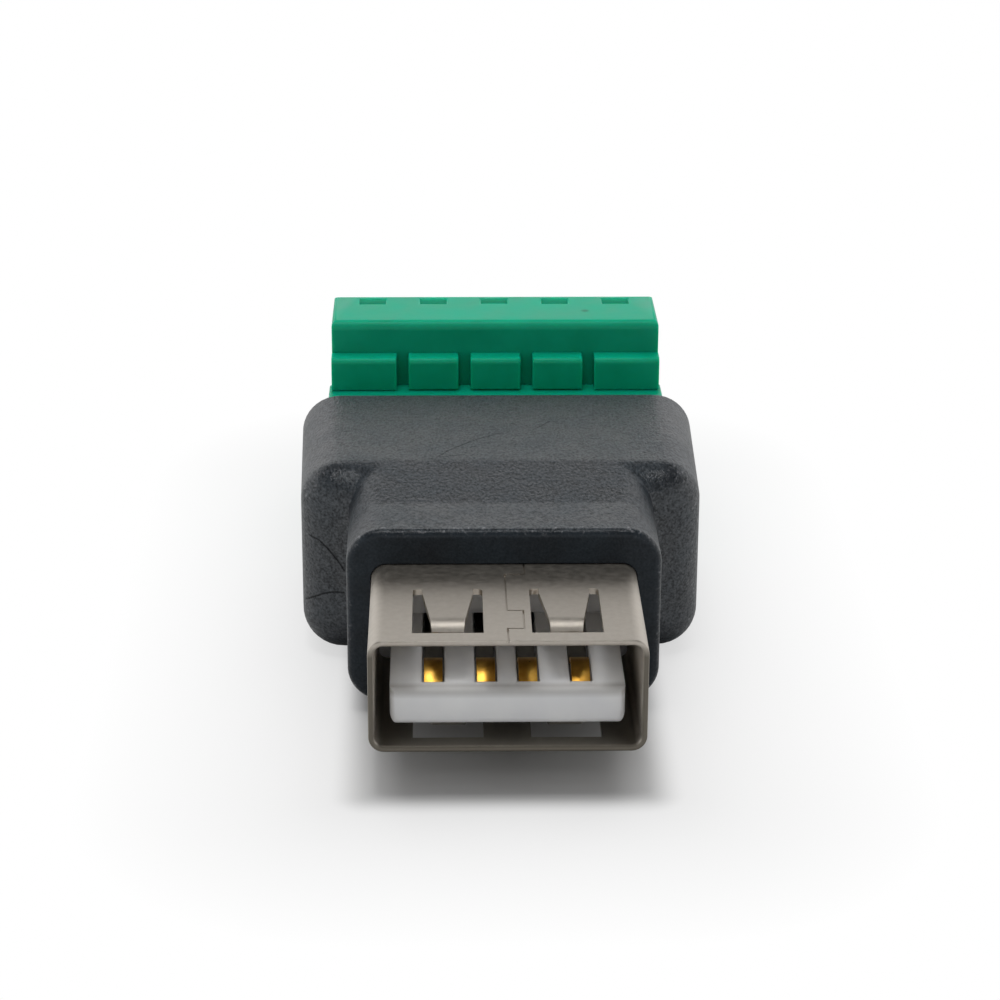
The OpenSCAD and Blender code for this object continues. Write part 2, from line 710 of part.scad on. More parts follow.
// side outline of the plug behind the header's mouth
module plug_side() {
    fall = (end_y - ridge_y) * tan(roof_fall);
    polygon([[plug_y, plug_bottom], [end_y, plug_bottom], [end_y, plug_top - fall], [ridge_y, plug_top],
        [plug_y + top_edge, plug_top], [plug_y, plug_top - top_edge]]);
    translate([plug_y + top_edge, plug_top - top_edge])
        circle(r = top_edge, $fn = smooth);
}

// front outline of the plug, round at both ends of its top
module plug_front() {
    translate([-plug_width / 2, plug_bottom])
        square([plug_width, plug_top - side_edge - plug_bottom]);
    translate([side_edge - plug_width / 2, plug_bottom])
        square([plug_width - 2 * side_edge, plug_top - plug_bottom]);
    for (side = [-1, 1])
        translate([side * (plug_width / 2 - side_edge), plug_top - side_edge])
            circle(r = side_edge, $fn = smooth);
}

// side outline of the row of keys over the header's rim
module key_side() {
    translate([plug_y - key_depth, key_bottom])
        square([key_depth + top_edge, key_height - key_edge]);
    translate([plug_y - key_depth + key_edge, key_bottom])
        square([key_depth + top_edge - key_edge, key_height]);
    translate([plug_y - key_depth + key_edge, key_bottom + key_height - key_edge])
        circle(r = key_edge, $fn = smooth);
}

// square wire entry with slanted sides, from the plug's rear face
module wire_entry() {
    half = entry_size / 2;
    wide = entry_funnel / 2;
    throat = end_y - funnel_depth;
    box(entry_size, chamber_rear_y - cut, end_y, entry_z - half, entry_z + half);
    intersection() {
        translate([0, 0, entry_z - wide])
            linear_extrude(height = 2 * wide)
                polygon([[-half, throat], [half, throat], [wide, end_y], [wide, end_y + cut],
                    [-wide, end_y + cut], [-wide, end_y]]);
        across_x(2 * wide)
            polygon([[throat, entry_z - half], [throat, entry_z + half], [end_y, entry_z + wide],
                [end_y + cut, entry_z + wide], [end_y + cut, entry_z - wide], [end_y, entry_z - wide]]);
    }
}

// all that is cut for one pole: clamp chamber, contact tunnel, screw seat and openings
module pole_cuts() {
    box(chamber_width, chamber_front_y, chamber_rear_y, chamber_bottom, chamber_top);
    box(bar_width + 2 * guide_gap, nose_y + 2 * leaf_thickness, chamber_front_y + cut,
        pin_z - tunnel_half, pin_z + tunnel_half);
    box(pin_size + 3 * guide_gap, nose_y - cut, nose_y + cut, pin_z - spring_half - guide_gap,
        pin_z + spring_half + guide_gap);
    wire_entry();
    translate([0, screw_y, 0]) {
        translate([0, 0, chamber_top - cut])
            cylinder(d = thread_diameter + 2 * running_gap, h = chamber_ceiling + 2 * cut, $fn = smooth);
        translate([0, 0, head_bottom - running_gap])
            cylinder(d = head_diameter + 2 * running_gap, h = head_height + 2 * running_gap, $fn = smooth);
        translate([0, 0, head_bottom])
            cylinder(d = access_diameter, h = plug_top - head_bottom + cut, $fn = smooth);
    }
    box(notch_width, ridge_y - notch_setback - notch_length, ridge_y - notch_setback,
        plug_top - notch_depth, plug_top + cut);
}

module plug_body() {
    color("#23936f") in_frame() difference() {
        union() {
            intersection() {
                across_x(plug_width)
                    plug_side();
                along_y(plug_y, end_y)
                    plug_front();
            }
            difference() {
                across_x(plug_width)
                    key_side();
                for (i = [0 : pole_count - 2])
                    translate([(poles[i] + poles[i + 1]) / 2, 0, 0])
                        box(key_gap, plug_y - key_depth - cut, plug_y, key_bottom - cut,
                            key_bottom + key_height + cut);
            }
            // nose that enters the header
            box(nose_width, nose_y, plug_y + cut, pin_z - nose_half_height, cavity_top - guide_gap);
            for (x = poles)
                translate([x, 0, 0])
                    box(rib_width, nose_y, plug_y + cut, pin_z, cavity_top - guide_gap + rib_height);
        }
        for (x = poles)
            translate([x, 0, 0])
                pole_cuts();
    }
}

// clamping bar with two spring leaves that grip the header pin
module plug_contact(i) {
    t = leaf_thickness;
    heel = plug_y + t;
    back = heel + 2 * t;
    bar_end = chamber_rear_y - 2 * guide_gap;
    tip = nose_y + 3 * t;
    grip = tip + 4 * t;
    inner = spring_half;
    outer = spring_half + t;
    color("#c3b27a") in_frame() translate([poles[i - 1], 0, 0])
        across_x(bar_width)
            polygon([[bar_end, bar_bottom], [bar_end, bar_top], [back, bar_top],
                [back, pin_z + outer + t], [grip, pin_z + outer], [tip, pin_z + outer + t],
                [tip, pin_z + outer], [grip, pin_z + inner], [heel, pin_z + outer],
                [heel, pin_z - outer], [grip, pin_z - inner], [tip, pin_z - outer],
                [tip, pin_z - outer - t], [grip, pin_z - outer],
                [back, pin_z - outer - t], [back, bar_bottom]]);
}

module clamp_cage(i) {
    window = cage_width - 2 * cage_sheet;
    color("#b9b39a") in_frame() translate([poles[i - 1], 0, 0])
        difference() {
            box(cage_width, cage_front_y, cage_front_y + cage_length,
                cage_bottom, cage_bottom + cage_height);
            box(window, cage_front_y - cut, cage_front_y + cage_length + cut,
                cage_bottom + cage_sheet, cage_window_top);
            translate([0, screw_y, cage_window_top - cut])
                cylinder(d = thread_diameter + 2 * running_gap, h = cage_top + 2 * cut, $fn = smooth);
        }
}

module terminal_screw(i) {
    color("#c8cacb") in_frame() translate([poles[i - 1], screw_y, 0])
        difference() {
            union() {
                translate([0, 0, screw_tip])
                    cylinder(d = thread_diameter, h = head_bottom - screw_tip + head_height / 2,
                        $fn = smooth);
                translate([0, 0, head_bottom])
                    cylinder(d = head_diameter, h = head_height, $fn = smooth);
            }
            translate([-head_diameter, -drive_width / 2, head_top - drive_depth])
                cube([2 * head_diameter, drive_width, drive_depth + cut]);
        }
}

overmould_housing();
usb_shell();
usb_insulator();
usb_contact(contact_places[0]);  // usb_contact_power
usb_contact(contact_places[1]);  // usb_contact_data_minus
usb_contact(contact_places[2]);  // usb_contact_data_plus
usb_contact(contact_places[3]);  // usb_contact_ground
circuit_board();
header_body();
header_pin(1);  // header_pin_1
header_pin(2);  // header_pin_2
header_pin(3);  // header_pin_3
header_pin(4);  // header_pin_4
header_pin(5);  // header_pin_5
plug_body();
plug_contact(1);  // plug_contact_1
plug_contact(2);  // plug_contact_2
plug_contact(3);  // plug_contact_3
plug_contact(4);  // plug_contact_4
plug_contact(5);  // plug_contact_5
clamp_cage(1);  // clamp_cage_1
clamp_cage(2);  // clamp_cage_2
clamp_cage(3);  // clamp_cage_3
clamp_cage(4);  // clamp_cage_4
clamp_cage(5);  // clamp_cage_5
terminal_screw(1);  // terminal_screw_1
terminal_screw(2);  // terminal_screw_2
terminal_screw(3);  // terminal_screw_3
terminal_screw(4);  // terminal_screw_4
terminal_screw(5);  // terminal_screw_5
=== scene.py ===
from math import pi, radians

import bmesh
import bpy
from mathutils import Matrix, Vector


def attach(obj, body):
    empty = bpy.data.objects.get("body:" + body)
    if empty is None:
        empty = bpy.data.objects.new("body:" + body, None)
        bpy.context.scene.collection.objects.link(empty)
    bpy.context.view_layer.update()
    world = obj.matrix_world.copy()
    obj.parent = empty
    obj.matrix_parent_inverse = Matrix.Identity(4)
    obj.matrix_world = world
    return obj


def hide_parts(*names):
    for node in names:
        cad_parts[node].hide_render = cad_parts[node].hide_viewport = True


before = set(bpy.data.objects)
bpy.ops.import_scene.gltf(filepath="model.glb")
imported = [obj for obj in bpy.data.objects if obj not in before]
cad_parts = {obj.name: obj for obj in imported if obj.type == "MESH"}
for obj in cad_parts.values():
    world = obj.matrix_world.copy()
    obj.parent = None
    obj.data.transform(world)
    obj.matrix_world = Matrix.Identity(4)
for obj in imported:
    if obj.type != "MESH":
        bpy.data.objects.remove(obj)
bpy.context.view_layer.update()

MM = 0.001
X, Y, Z = range(3)


def limits(node, axis):
    """Lowest and highest place of a solid along an axis of the frame, in metres."""
    places = [vert.co[axis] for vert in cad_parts[node].data.vertices]
    return min(places), max(places)


# Places along an axis of the frame, in metres, that the solids give.
MOUTH = limits("usb_shell", Y)[0]
SHELL_SIDE = limits("usb_shell", X)[1]
TONGUE_TIP = limits("usb_insulator", Y)[0]
COLLAR_FRONT = limits("overmould_housing", Y)[0]
SOCKET_AXIS = sum(limits("overmould_housing", Z)) / 2
PLUG_REAR = limits("plug_body", Y)[1]
PLUG_TOP = limits("plug_body", Z)[1]

# Places counted from those.
GOLD_END = MOUTH + 5.0 * MM
TONGUE_FACE = SOCKET_AXIS - 0.07 * MM
SHOULDER_END = COLLAR_FRONT + 8.0 * MM
GATE_MARK = Vector((5.17 * MM, PLUG_REAR - 6.85 * MM, PLUG_TOP))
NOTCH_DEPTH = 0.3 * MM
NOTCH_REAR = PLUG_REAR - 4.45 * MM
POLES = sum(name.startswith("header_pin_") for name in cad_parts)

# Radii of the rounded edges, in millimetres.
HOUSING_EDGE = 0.06
MOUTH_INNER_EDGE = 0.16
MOUTH_OUTER_EDGE = 0.09
CONTACT_EDGE = 0.03
BLOCK_EDGE = 0.1
PIN_EDGE = 0.05
CLAMP_EDGE = 0.06

# Thin scratches on the moulding, as broken lines in millimetres: X and the distance behind the mouth on its
# flat top, X and the height over the socket's axis on its left shoulder.
TOP_SCRATCHES = (
    ((-3.3, 18.2), (-2.7, 19.2), (-1.6, 20.5), (-0.9, 21.15), (0.15, 21.85)),
    ((2.05, 22.65), (2.75, 23.65)),
    ((-3.15, 18.2), (-2.1, 18.55)),
)
SHOULDER_SCRATCHES = (
    ((-9.95, 1.5), (-9.4, 1.4), (-8.95, 1.0), (-8.45, 0.4), (-8.1, -0.1)),
    ((-10.2, -2.3), (-9.75, -1.9), (-9.2, -1.55), (-8.7, -1.4), (-8.15, -1.35)),
)
SCRATCH_HALF_WIDTH = 0.075 * MM

# Edges over the first angle are sharp, and faces over the second lie folded on each other.
SHARP = radians(35)
FOLDED = radians(165)
# Corners nearer than the first distance are one corner. The second is how exactly a place is looked for.
SAME_CORNER = 0.001 * MM
SAME_PLACE = 0.01 * MM


def linear(hex_colour):
    """An sRGB hex colour as linear RGBA."""
    channels = [int(hex_colour[i:i + 2], 16) / 255 for i in (1, 3, 5)]
    return [c / 12.92 if c <= 0.04045 else ((c + 0.055) / 1.055) ** 2.4 for c in channels] + [1]


def per_metre(size_mm):
    """Scale of a pattern whose features are this many millimetres across."""
    return 1 / (size_mm * MM)


def add(tree, kind, inputs=None, **settings):
    """Adds a node, sets its properties and gives inputs, by name or number, a value or a link.

    A node as a value stands for the first output that it has in use.
    """
    node = tree.nodes.new(kind)
    for name, value in settings.items():
        setattr(node, name, value)
    for key, value in (inputs or {}).items():
        if isinstance(key, int):
            socket = node.inputs[key]
        else:
            socket = next(s for s in node.inputs if s.enabled and s.name == key)
        if isinstance(value, bpy.types.Node):
            value = next(s for s in value.outputs if s.enabled)
        if isinstance(value, bpy.types.NodeSocket):
            tree.links.new(value, socket)
        else:
            socket.default_value = value
    return node


def new_material(name):
    """An empty material, its node tree and the place of the shaded point in the frame."""
    mat = bpy.data.materials.new(name)
    mat.use_nodes = True
    tree = mat.node_tree
    tree.nodes.clear()
    return mat, tree, add(tree, "ShaderNodeTexCoord").outputs["Object"]


def uneven_skin(tree, place, patch_mm, detail, tones, roughness):
    """Colour and roughness that drift together between two values each, in soft patches."""
    patch = add(tree, "ShaderNodeTexNoise", {"Vector": place, "Scale": per_metre(patch_mm), "Detail": detail})
    share = add(tree, "ShaderNodeMapRange", {"Value": patch, "From Min": 0.3, "From Max": 0.7})
    colour = add(tree, "ShaderNodeMix", {"Factor": share, "A": linear(tones[0]), "B": linear(tones[1])},
                 data_type="RGBA")
    rough = add(tree, "ShaderNodeMapRange", {"Value": share, "To Min": roughness[0], "To Max": roughness[1]})
    return colour, rough


def band(tree, value, start, end, fade):
    """1 between two places along an axis, fading to 0 outside them."""
    up = add(tree, "ShaderNodeMapRange", {"Value": value, "From Min": start - fade, "From Max": start})
    down = add(tree, "ShaderNodeMapRange", {"Value": value, "From Min": end, "From Max": end + fade,
                                            "To Min": 1.0, "To Max": 0.0})
    return add(tree, "ShaderNodeMath", {0: up, 1: down}, operation="MULTIPLY")


def scratch_mask(tree, place, lines, seen):
    """1 along thin broken lines in a plane, 0 away from them. Seen has a 0 for the axis across that plane."""
    flat = add(tree, "ShaderNodeVectorMath", {0: place, 1: seen}, operation="MULTIPLY")
    nearest = None
    for line in lines:
        for start, end in zip(line, line[1:]):
            run = end - start
            offset = add(tree, "ShaderNodeVectorMath", {0: flat, 1: start}, operation="SUBTRACT")
            share = add(tree, "ShaderNodeVectorMath", {0: offset, 1: run / run.length_squared},
                        operation="DOT_PRODUCT")
            held = add(tree, "ShaderNodeClamp", {"Value": share})
            foot = add(tree, "ShaderNodeVectorMath", {0: run, "Scale": held}, operation="SCALE")
            gap = add(tree, "ShaderNodeVectorMath", {0: offset, 1: foot}, operation="DISTANCE")
            nearest = gap if nearest is None else add(tree, "ShaderNodeMath", {0: nearest, 1: gap},
                                                      operation="MINIMUM")
    return add(tree, "ShaderNodeMapRange", {"Value": nearest, "From Max": SCRATCH_HALF_WIDTH,
                                            "To Min": 1.0, "To Max": 0.0})


def scratches(tree, place, axes):
    """1 along the scratches on the moulding's upper side and on the front of its shoulders, 0 elsewhere."""
    top = [[Vector((x * MM, MOUTH + y * MM, 0)) for x, y in line] for line in TOP_SCRATCHES]
    shoulder = [[Vector((x * MM, 0, SOCKET_AXIS + z * MM)) for x, z in line] for line in SHOULDER_SCRATCHES]
    upper = add(tree, "ShaderNodeMath", {0: axes["Z"], 1: SOCKET_AXIS}, operation="GREATER_THAN")
    fore = add(tree, "ShaderNodeMath", {0: axes["Y"], 1: SHOULDER_END}, operation="LESS_THAN")
    on_top = add(tree, "ShaderNodeMath", {0: scratch_mask(tree, place, top, (1, 1, 0)), 1: upper},
                 operation="MULTIPLY")
    on_shoulder = add(tree, "ShaderNodeMath", {0: scratch_mask(tree, place, shoulder, (1, 0, 1)), 1: fore},
                      operation="MULTIPLY")
    return add(tree, "ShaderNodeMath", {0: on_top, 1: on_shoulder}, operation="MAXIMUM")


def painted_glints(tree, axes, drawn):
    """Small bright specks painted on the collar's front edge and on the shoulders: painted glints, a painted
    highlight.
    """
    speck = add(tree, "ShaderNodeTexNoise", {"Vector": drawn, "Scale": per_metre(0.2), "Detail": 1.0})
    bright = add(tree, "ShaderNodeMapRange", {"Value": speck, "From Min": 0.6, "From Max": 0.72,
                                              "To Max": 0.35})
    collar = band(tree, axes["Y"], COLLAR_FRONT + 0.15 * MM, COLLAR_FRONT + 0.5 * MM, 0.15 * MM)
    side = add(tree, "ShaderNodeMath", {0: axes["X"]}, operation="ABSOLUTE")
    outer = band(tree, side, 8.6 * MM, 10.3 * MM, 0.6 * MM)
    shoulder = band(tree, axes["Y"], SHOULDER_END - 0.6 * MM, SHOULDER_END + 0.2 * MM, 0.2 * MM)
    upper = add(tree, "ShaderNodeMath", {0: shoulder, 1: outer}, operation="MULTIPLY")
    edges = add(tree, "ShaderNodeMath", {0: collar, 1: upper}, operation="MAXIMUM")
    return add(tree, "ShaderNodeMath", {0: bright, 1: edges}, operation="MULTIPLY")


# Black soft PVC from a spark-eroded tool: a dull pebbled grain that breaks up the sheen, fine scratches, and
# a front face left smooth and darker by the shut-off round the socket.
def moulded_pvc():
    grain_mm, pebble_mm, patch_mm, relief_mm = 0.12, 0.26, 1.8, 0.06
    sheen_level, scratch_level = 0.74, 0.12
    mat, tree, place = new_material("moulded_black_pvc")
    axes = add(tree, "ShaderNodeSeparateXYZ", {"Vector": place}).outputs
    grained = add(tree, "ShaderNodeMapRange", {"Value": axes["Y"], "From Min": COLLAR_FRONT + 0.05 * MM,
                                               "From Max": COLLAR_FRONT + 0.3 * MM, "To Min": 0.35})
    drawn = add(tree, "ShaderNodeMapping", {"Vector": place, "Scale": (1.0, 0.45, 1.0)})
    grain = add(tree, "ShaderNodeTexNoise", {"Vector": drawn, "Scale": per_metre(grain_mm), "Detail": 2.0,
                                             "Roughness": 0.6})
    pebble = add(tree, "ShaderNodeTexNoise", {"Vector": place, "Scale": per_metre(pebble_mm), "Detail": 2.0})
    relief = add(tree, "ShaderNodeMix", {"Factor": 0.3, "A": grain, "B": pebble})
    plain, rough = uneven_skin(tree, place, patch_mm, 2.0, ("#151B21", "#1C252C"), (0.34, 0.42))
    # The bright grey specks mixed in here are painted glints, a painted highlight.
    tone = add(tree, "ShaderNodeMix", {"Factor": painted_glints(tree, axes, drawn), "A": plain,
                                       "B": linear("#8C8C90")}, data_type="RGBA")
    pits = add(tree, "ShaderNodeMapRange", {"Value": relief, "From Min": 0.36, "From Max": 0.64,
                                            "To Min": 0.5, "To Max": 1.45})
    even = add(tree, "ShaderNodeMix", {"Factor": grained, "A": 1.0, "B": pits})
    clean = add(tree, "ShaderNodeMapRange", {"Value": scratches(tree, place, axes), "To Min": 1.0,
                                             "To Max": scratch_level})
    depth = add(tree, "ShaderNodeMath", {0: even, 1: clean}, operation="MULTIPLY")
    colour = add(tree, "ShaderNodeMix", {"Factor": 1.0, "A": tone, "B": depth}, data_type="RGBA",
                 blend_type="MULTIPLY")
    sheen = add(tree, "ShaderNodeMath", {0: depth, 1: grained}, operation="MULTIPLY")
    level = add(tree, "ShaderNodeMath", {0: sheen, 1: sheen_level}, operation="MULTIPLY")
    bump = add(tree, "ShaderNodeBump", {"Height": relief, "Strength": grained, "Distance": relief_mm * MM})
    surface = add(tree, "ShaderNodeBsdfPrincipled", {"Base Color": colour, "IOR": 1.5, "Roughness": rough,
                                                     "Specular IOR Level": level, "Normal": bump})
    add(tree, "ShaderNodeOutputMaterial", {"Surface": surface})
    return mat


# Stamped steel strip with a satin nickel plate: warm grey, soft blurred reflections, faint rolling marks and
# a darker zone beside the collar, painted shade and reflection of the collar. The cut edge of its mouth is
# bare dark steel, with painted shade that makes it darker at the sides and bottom than along the top, and
# its floor under the tongue is darkened with painted shade.
def nickel_plate():
    patch_mm, cloud_mm, collar_shade_reach_mm, mark_mm, grit_mm, relief_mm = 0.35, 1.6, 3.5, 0.12, 0.1, 0.006
    floor_side = SHELL_SIDE - 0.55 * MM
    mat, tree, place = new_material("satin_nickel_plate")
    axes = add(tree, "ShaderNodeSeparateXYZ", {"Vector": place}).outputs
    clean, rough = uneven_skin(tree, place, patch_mm, 3.0, ("#C9C1B6", "#D5CEC4"), (0.42, 0.52))
    # A darker zone beside the collar: painted shade and reflection of the collar.
    cloud = add(tree, "ShaderNodeTexNoise", {"Vector": place, "Scale": per_metre(cloud_mm), "Detail": 4.0})
    spread = add(tree, "ShaderNodeMath", {0: cloud, 1: collar_shade_reach_mm * MM, 2: axes["Y"]},
                 operation="MULTIPLY_ADD")
    collar_shade = add(tree, "ShaderNodeMapRange", {"Value": spread, "From Min": COLLAR_FRONT - 1.6 * MM,
                                            "From Max": COLLAR_FRONT + 1.8 * MM, "To Max": 0.35})
    collar_shaded = add(tree, "ShaderNodeMix", {"Factor": collar_shade, "A": clean, "B": linear("#A29C90")},
                  data_type="RGBA")
    # The floor under the tongue is darkened: painted shade.
    low = add(tree, "ShaderNodeMapRange", {"Value": axes["Z"], "From Min": SOCKET_AXIS - 2.5 * MM,
                                           "From Max": SOCKET_AXIS - 1.9 * MM, "To Min": 0.9, "To Max": 0.0})
    across = band(tree, axes["X"], -floor_side, floor_side, 0.2 * MM)
    painted_shade_share = add(tree, "ShaderNodeMath", {0: low, 1: across}, operation="MULTIPLY")
    floor_shaded = add(tree, "ShaderNodeMix", {"Factor": painted_shade_share, "A": collar_shaded, "B": linear("#7F7A70")},
               data_type="RGBA")
    # The cut edge is bare dark steel, and painted shade makes it darker at the sides and bottom than along
    # the top.
    bare_metal_and_shade = add(tree, "ShaderNodeMapRange", {"Value": axes["Z"], "From Min": SOCKET_AXIS + 2.0 * MM,
                                            "From Max": SOCKET_AXIS + 2.6 * MM, "To Min": 0.95,
                                            "To Max": 0.24})
    cut = add(tree, "ShaderNodeMapRange", {"Value": axes["Y"], "From Min": MOUTH + 0.02 * MM,
                                           "From Max": MOUTH + 0.1 * MM, "To Min": bare_metal_and_shade, "To Max": 0.0})
    tone = add(tree, "ShaderNodeMix", {"Factor": cut, "A": floor_shaded, "B": linear("#69645B")}, data_type="RGBA")
    drawn = add(tree, "ShaderNodeMapping", {"Vector": place, "Scale": (1.0, 0.06, 1.0)})
    marks = add(tree, "ShaderNodeTexNoise", {"Vector": drawn, "Scale": per_metre(mark_mm), "Detail": 2.0})
    grit = add(tree, "ShaderNodeTexNoise", {"Vector": place, "Scale": per_metre(grit_mm), "Detail": 2.0})
    lines = add(tree, "ShaderNodeBump", {"Height": marks, "Strength": 0.25, "Distance": relief_mm * MM})
    bump = add(tree, "ShaderNodeBump", {"Height": grit, "Strength": 0.35, "Distance": relief_mm * MM,
                                        "Normal": lines})
    surface = add(tree, "ShaderNodeBsdfPrincipled", {"Base Color": tone, "Metallic": 1.0, "Roughness": rough,
                                                     "Normal": bump})
    add(tree, "ShaderNodeOutputMaterial", {"Surface": surface})
    return mat


# A moulded thermoplastic: even colour with faint cloudy flow, a satin skin and slight unevenness. Where it is
# translucent, light spreads in it by most of a millimetre and its edges glow. A gate leaves a dark spot, and
# a tongue's nose can be greyed with painted shade.
def moulded_plastic(name, tones, roughness, shine, grain_mm, depth_mm, glow=0.0, glow_reach=(1, 1, 1),
                    gate=None, shaded_nose=False):
    patch_mm, glow_mm = 1.8, 0.8
    mat, tree, place = new_material(name)
    tone, rough = uneven_skin(tree, place, patch_mm, 3.0, tones, (roughness - 0.04, roughness + 0.05))
    if gate is not None:
        away = add(tree, "ShaderNodeVectorMath", {0: place, 1: gate}, operation="DISTANCE")
        spot = add(tree, "ShaderNodeMapRange", {"Value": away, "From Min": 0.1 * MM, "From Max": 0.3 * MM,
                                                "To Min": 0.7, "To Max": 0.0})
        tone = add(tree, "ShaderNodeMix", {"Factor": spot, "A": tone, "B": linear("#00563E")},
                   data_type="RGBA")
    if shaded_nose:
        # Painted shade: the tongue's nose is greyed where the shell's top wall shades it.
        axes = add(tree, "ShaderNodeSeparateXYZ", {"Vector": place}).outputs
        fore = add(tree, "ShaderNodeMapRange", {"Value": axes["Y"], "From Min": TONGUE_TIP + 0.35 * MM,
                                                "From Max": TONGUE_TIP + 0.8 * MM, "To Min": 0.65,
                                                "To Max": 0.0})
        upper = add(tree, "ShaderNodeMapRange", {"Value": axes["Z"], "From Min": TONGUE_FACE - 0.5 * MM,
                                                 "From Max": TONGUE_FACE - 0.2 * MM})
        painted_shade_share = add(tree, "ShaderNodeMath", {0: fore, 1: upper}, operation="MULTIPLY")
        tone = add(tree, "ShaderNodeMix", {"Factor": painted_shade_share, "A": tone, "B": linear("#A3A19D")},
                   data_type="RGBA")
    grain = add(tree, "ShaderNodeTexNoise", {"Vector": place, "Scale": per_metre(grain_mm), "Detail": 3.0})
    bump = add(tree, "ShaderNodeBump", {"Height": grain, "Strength": 0.5, "Distance": depth_mm * MM})
    surface = add(tree, "ShaderNodeBsdfPrincipled", {"Base Color": tone, "IOR": 1.5, "Roughness": rough,
                                                     "Specular IOR Level": shine, "Subsurface Weight": glow,
                                                     "Subsurface Radius": glow_reach,
                                                     "Subsurface Scale": glow_mm * MM, "Normal": bump})
    add(tree, "ShaderNodeOutputMaterial", {"Surface": surface})
    return mat


# A plated metal: its plate's colour, slightly uneven in tone and blur, with fine forming marks. A plate that
# ends part of the way along Y shows a dull dark grey beyond: the bare underplate, and painted shade where the
# contacts run in under the shell.
def plated_metal(name, tones, roughness, marks=0.3, plate_end=None):
    patch_mm, grit_mm, relief_mm = 0.6, 0.08, 0.005
    mat, tree, place = new_material(name)
    tone, rough = uneven_skin(tree, place, patch_mm, 3.0, tones, (roughness - 0.03, roughness + 0.04))
    if plate_end is not None:
        # Beyond the plate's end: bare underplate, darkened with painted shade.
        axes = add(tree, "ShaderNodeSeparateXYZ", {"Vector": place}).outputs
        bare_metal_and_shade = add(tree, "ShaderNodeMapRange", {"Value": axes["Y"], "From Min": plate_end - 0.2 * MM,
                                                "From Max": plate_end + 0.2 * MM})
        tone = add(tree, "ShaderNodeMix", {"Factor": bare_metal_and_shade, "A": tone, "B": linear("#77746C")},
                   data_type="RGBA")
    grit = add(tree, "ShaderNodeTexNoise", {"Vector": place, "Scale": per_metre(grit_mm), "Detail": 2.0})
    bump = add(tree, "ShaderNodeBump", {"Height": grit, "Strength": marks, "Distance": relief_mm * MM})
    surface = add(tree, "ShaderNodeBsdfPrincipled", {"Base Color": tone, "Metallic": 1.0, "Roughness": rough,
                                                     "Normal": bump})
    add(tree, "ShaderNodeOutputMaterial", {"Surface": surface})
    return mat


FINISH = {
    "black_overmould": moulded_pvc(),
    "nickel_plate": nickel_plate(),
    "white_plastic": moulded_plastic("moulded_white_pbt", ("#E2E3E5", "#EAEBEB"), roughness=0.45, shine=0.4,
                                     grain_mm=0.25, depth_mm=0.01, glow=0.6, glow_reach=(1.5, 1.5, 1.5),
                                     shaded_nose=True),
    "gilt_contact": plated_metal("gold_flash", ("#C48F34", "#DDAE52"), roughness=0.3, marks=0.12,
                                 plate_end=GOLD_END),
    "board_laminate": moulded_plastic("glass_laminate", ("#2A5436", "#37683F"), roughness=0.4, shine=0.5,
                                      grain_mm=0.3, depth_mm=0.01),
    "green_plastic": moulded_plastic("moulded_green_polyamide", ("#009876", "#00A17F"), roughness=0.42,
                                     shine=0.2, grain_mm=0.5, depth_mm=0.012, glow=0.9,
                                     glow_reach=(0.1, 1.0, 0.65), gate=GATE_MARK),
    "tinned_pin": plated_metal("tin_plate", ("#B4B4AE", "#C9C9C4"), roughness=0.35),
    "contact_alloy": plated_metal("tinned_bronze", ("#B9B199", "#CCC5AE"), roughness=0.35),
    "cage_plate": plated_metal("zinc_plate", ("#B3AF9E", "#C8C4B2"), roughness=0.38),
    "screw_steel": plated_metal("zinc_plated_steel", ("#B5B8BA", "#CDD0D1"), roughness=0.3),
}


def finish_piece(name, bm, body, slot, *nodes):
    """Makes an object of a mesh that is already in the frame, with smooth faces and hard sharp edges."""
    for face in bm.faces:
        face.smooth = True
    for edge in bm.edges:
        edge.smooth = not (len(edge.link_faces) == 2 and edge.calc_face_angle() > SHARP)
    mesh = bpy.data.meshes.new(name)
    bm.to_mesh(mesh)
    bm.free()
    mesh.materials.append(FINISH[slot])
    piece = bpy.data.objects.new(name, mesh)
    bpy.context.scene.collection.objects.link(piece)
    even = piece.modifiers.new("even_shading", "WEIGHTED_NORMAL")
    even.keep_sharp = True
    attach(piece, body)
    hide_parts(*nodes)


def in_mouth(edge):
    """Whether an edge of the shell lies in the plane of the socket's mouth."""
    return all(vert.co.y < MOUTH + SAME_CORNER for vert in edge.verts)


def faces_out(edge):
    """How far, in metres, the wall beside an edge of the shell's mouth faces away from the socket's axis."""
    middle = (edge.verts[0].co + edge.verts[1].co) / 2
    wall = max(edge.link_faces, key=lambda face: face.normal.y)
    return wall.normal.x * middle.x + wall.normal.z * (middle.z - SOCKET_AXIS)


def inside_mouth(edge):
    """Whether an edge runs round the inside of the shell's mouth."""
    return in_mouth(edge) and faces_out(edge) < -MM


def outside_mouth(edge):
    """Whether an edge runs round the outside of the shell's mouth."""
    return in_mouth(edge) and faces_out(edge) > MM


def joined_groups(edges):
    """The edges as groups that touch, because a rounding is limited by the shortest edge in its group."""
    left, groups = set(edges), []
    for start in edges:
        if start not in left:
            continue
        left.remove(start)
        group, found = [], [start]
        while found:
            edge = found.pop()
            group.append(edge)
            for near in [e for vert in edge.verts for e in vert.link_edges]:
                if near in left:
                    left.remove(near)
                    found.append(near)
        groups.append(group)
    return groups


def scoop_notches(bm):
    """Slopes the rear walls of the notches in the plug's top, which the mould leaves soft and pale."""
    feet = [vert for vert in bm.verts if abs(vert.co.y - NOTCH_REAR) < SAME_PLACE
            and abs(vert.co.z - (PLUG_TOP - NOTCH_DEPTH)) < SAME_PLACE]
    bmesh.ops.translate(bm, verts=feet, vec=(0, -NOTCH_DEPTH, 0))


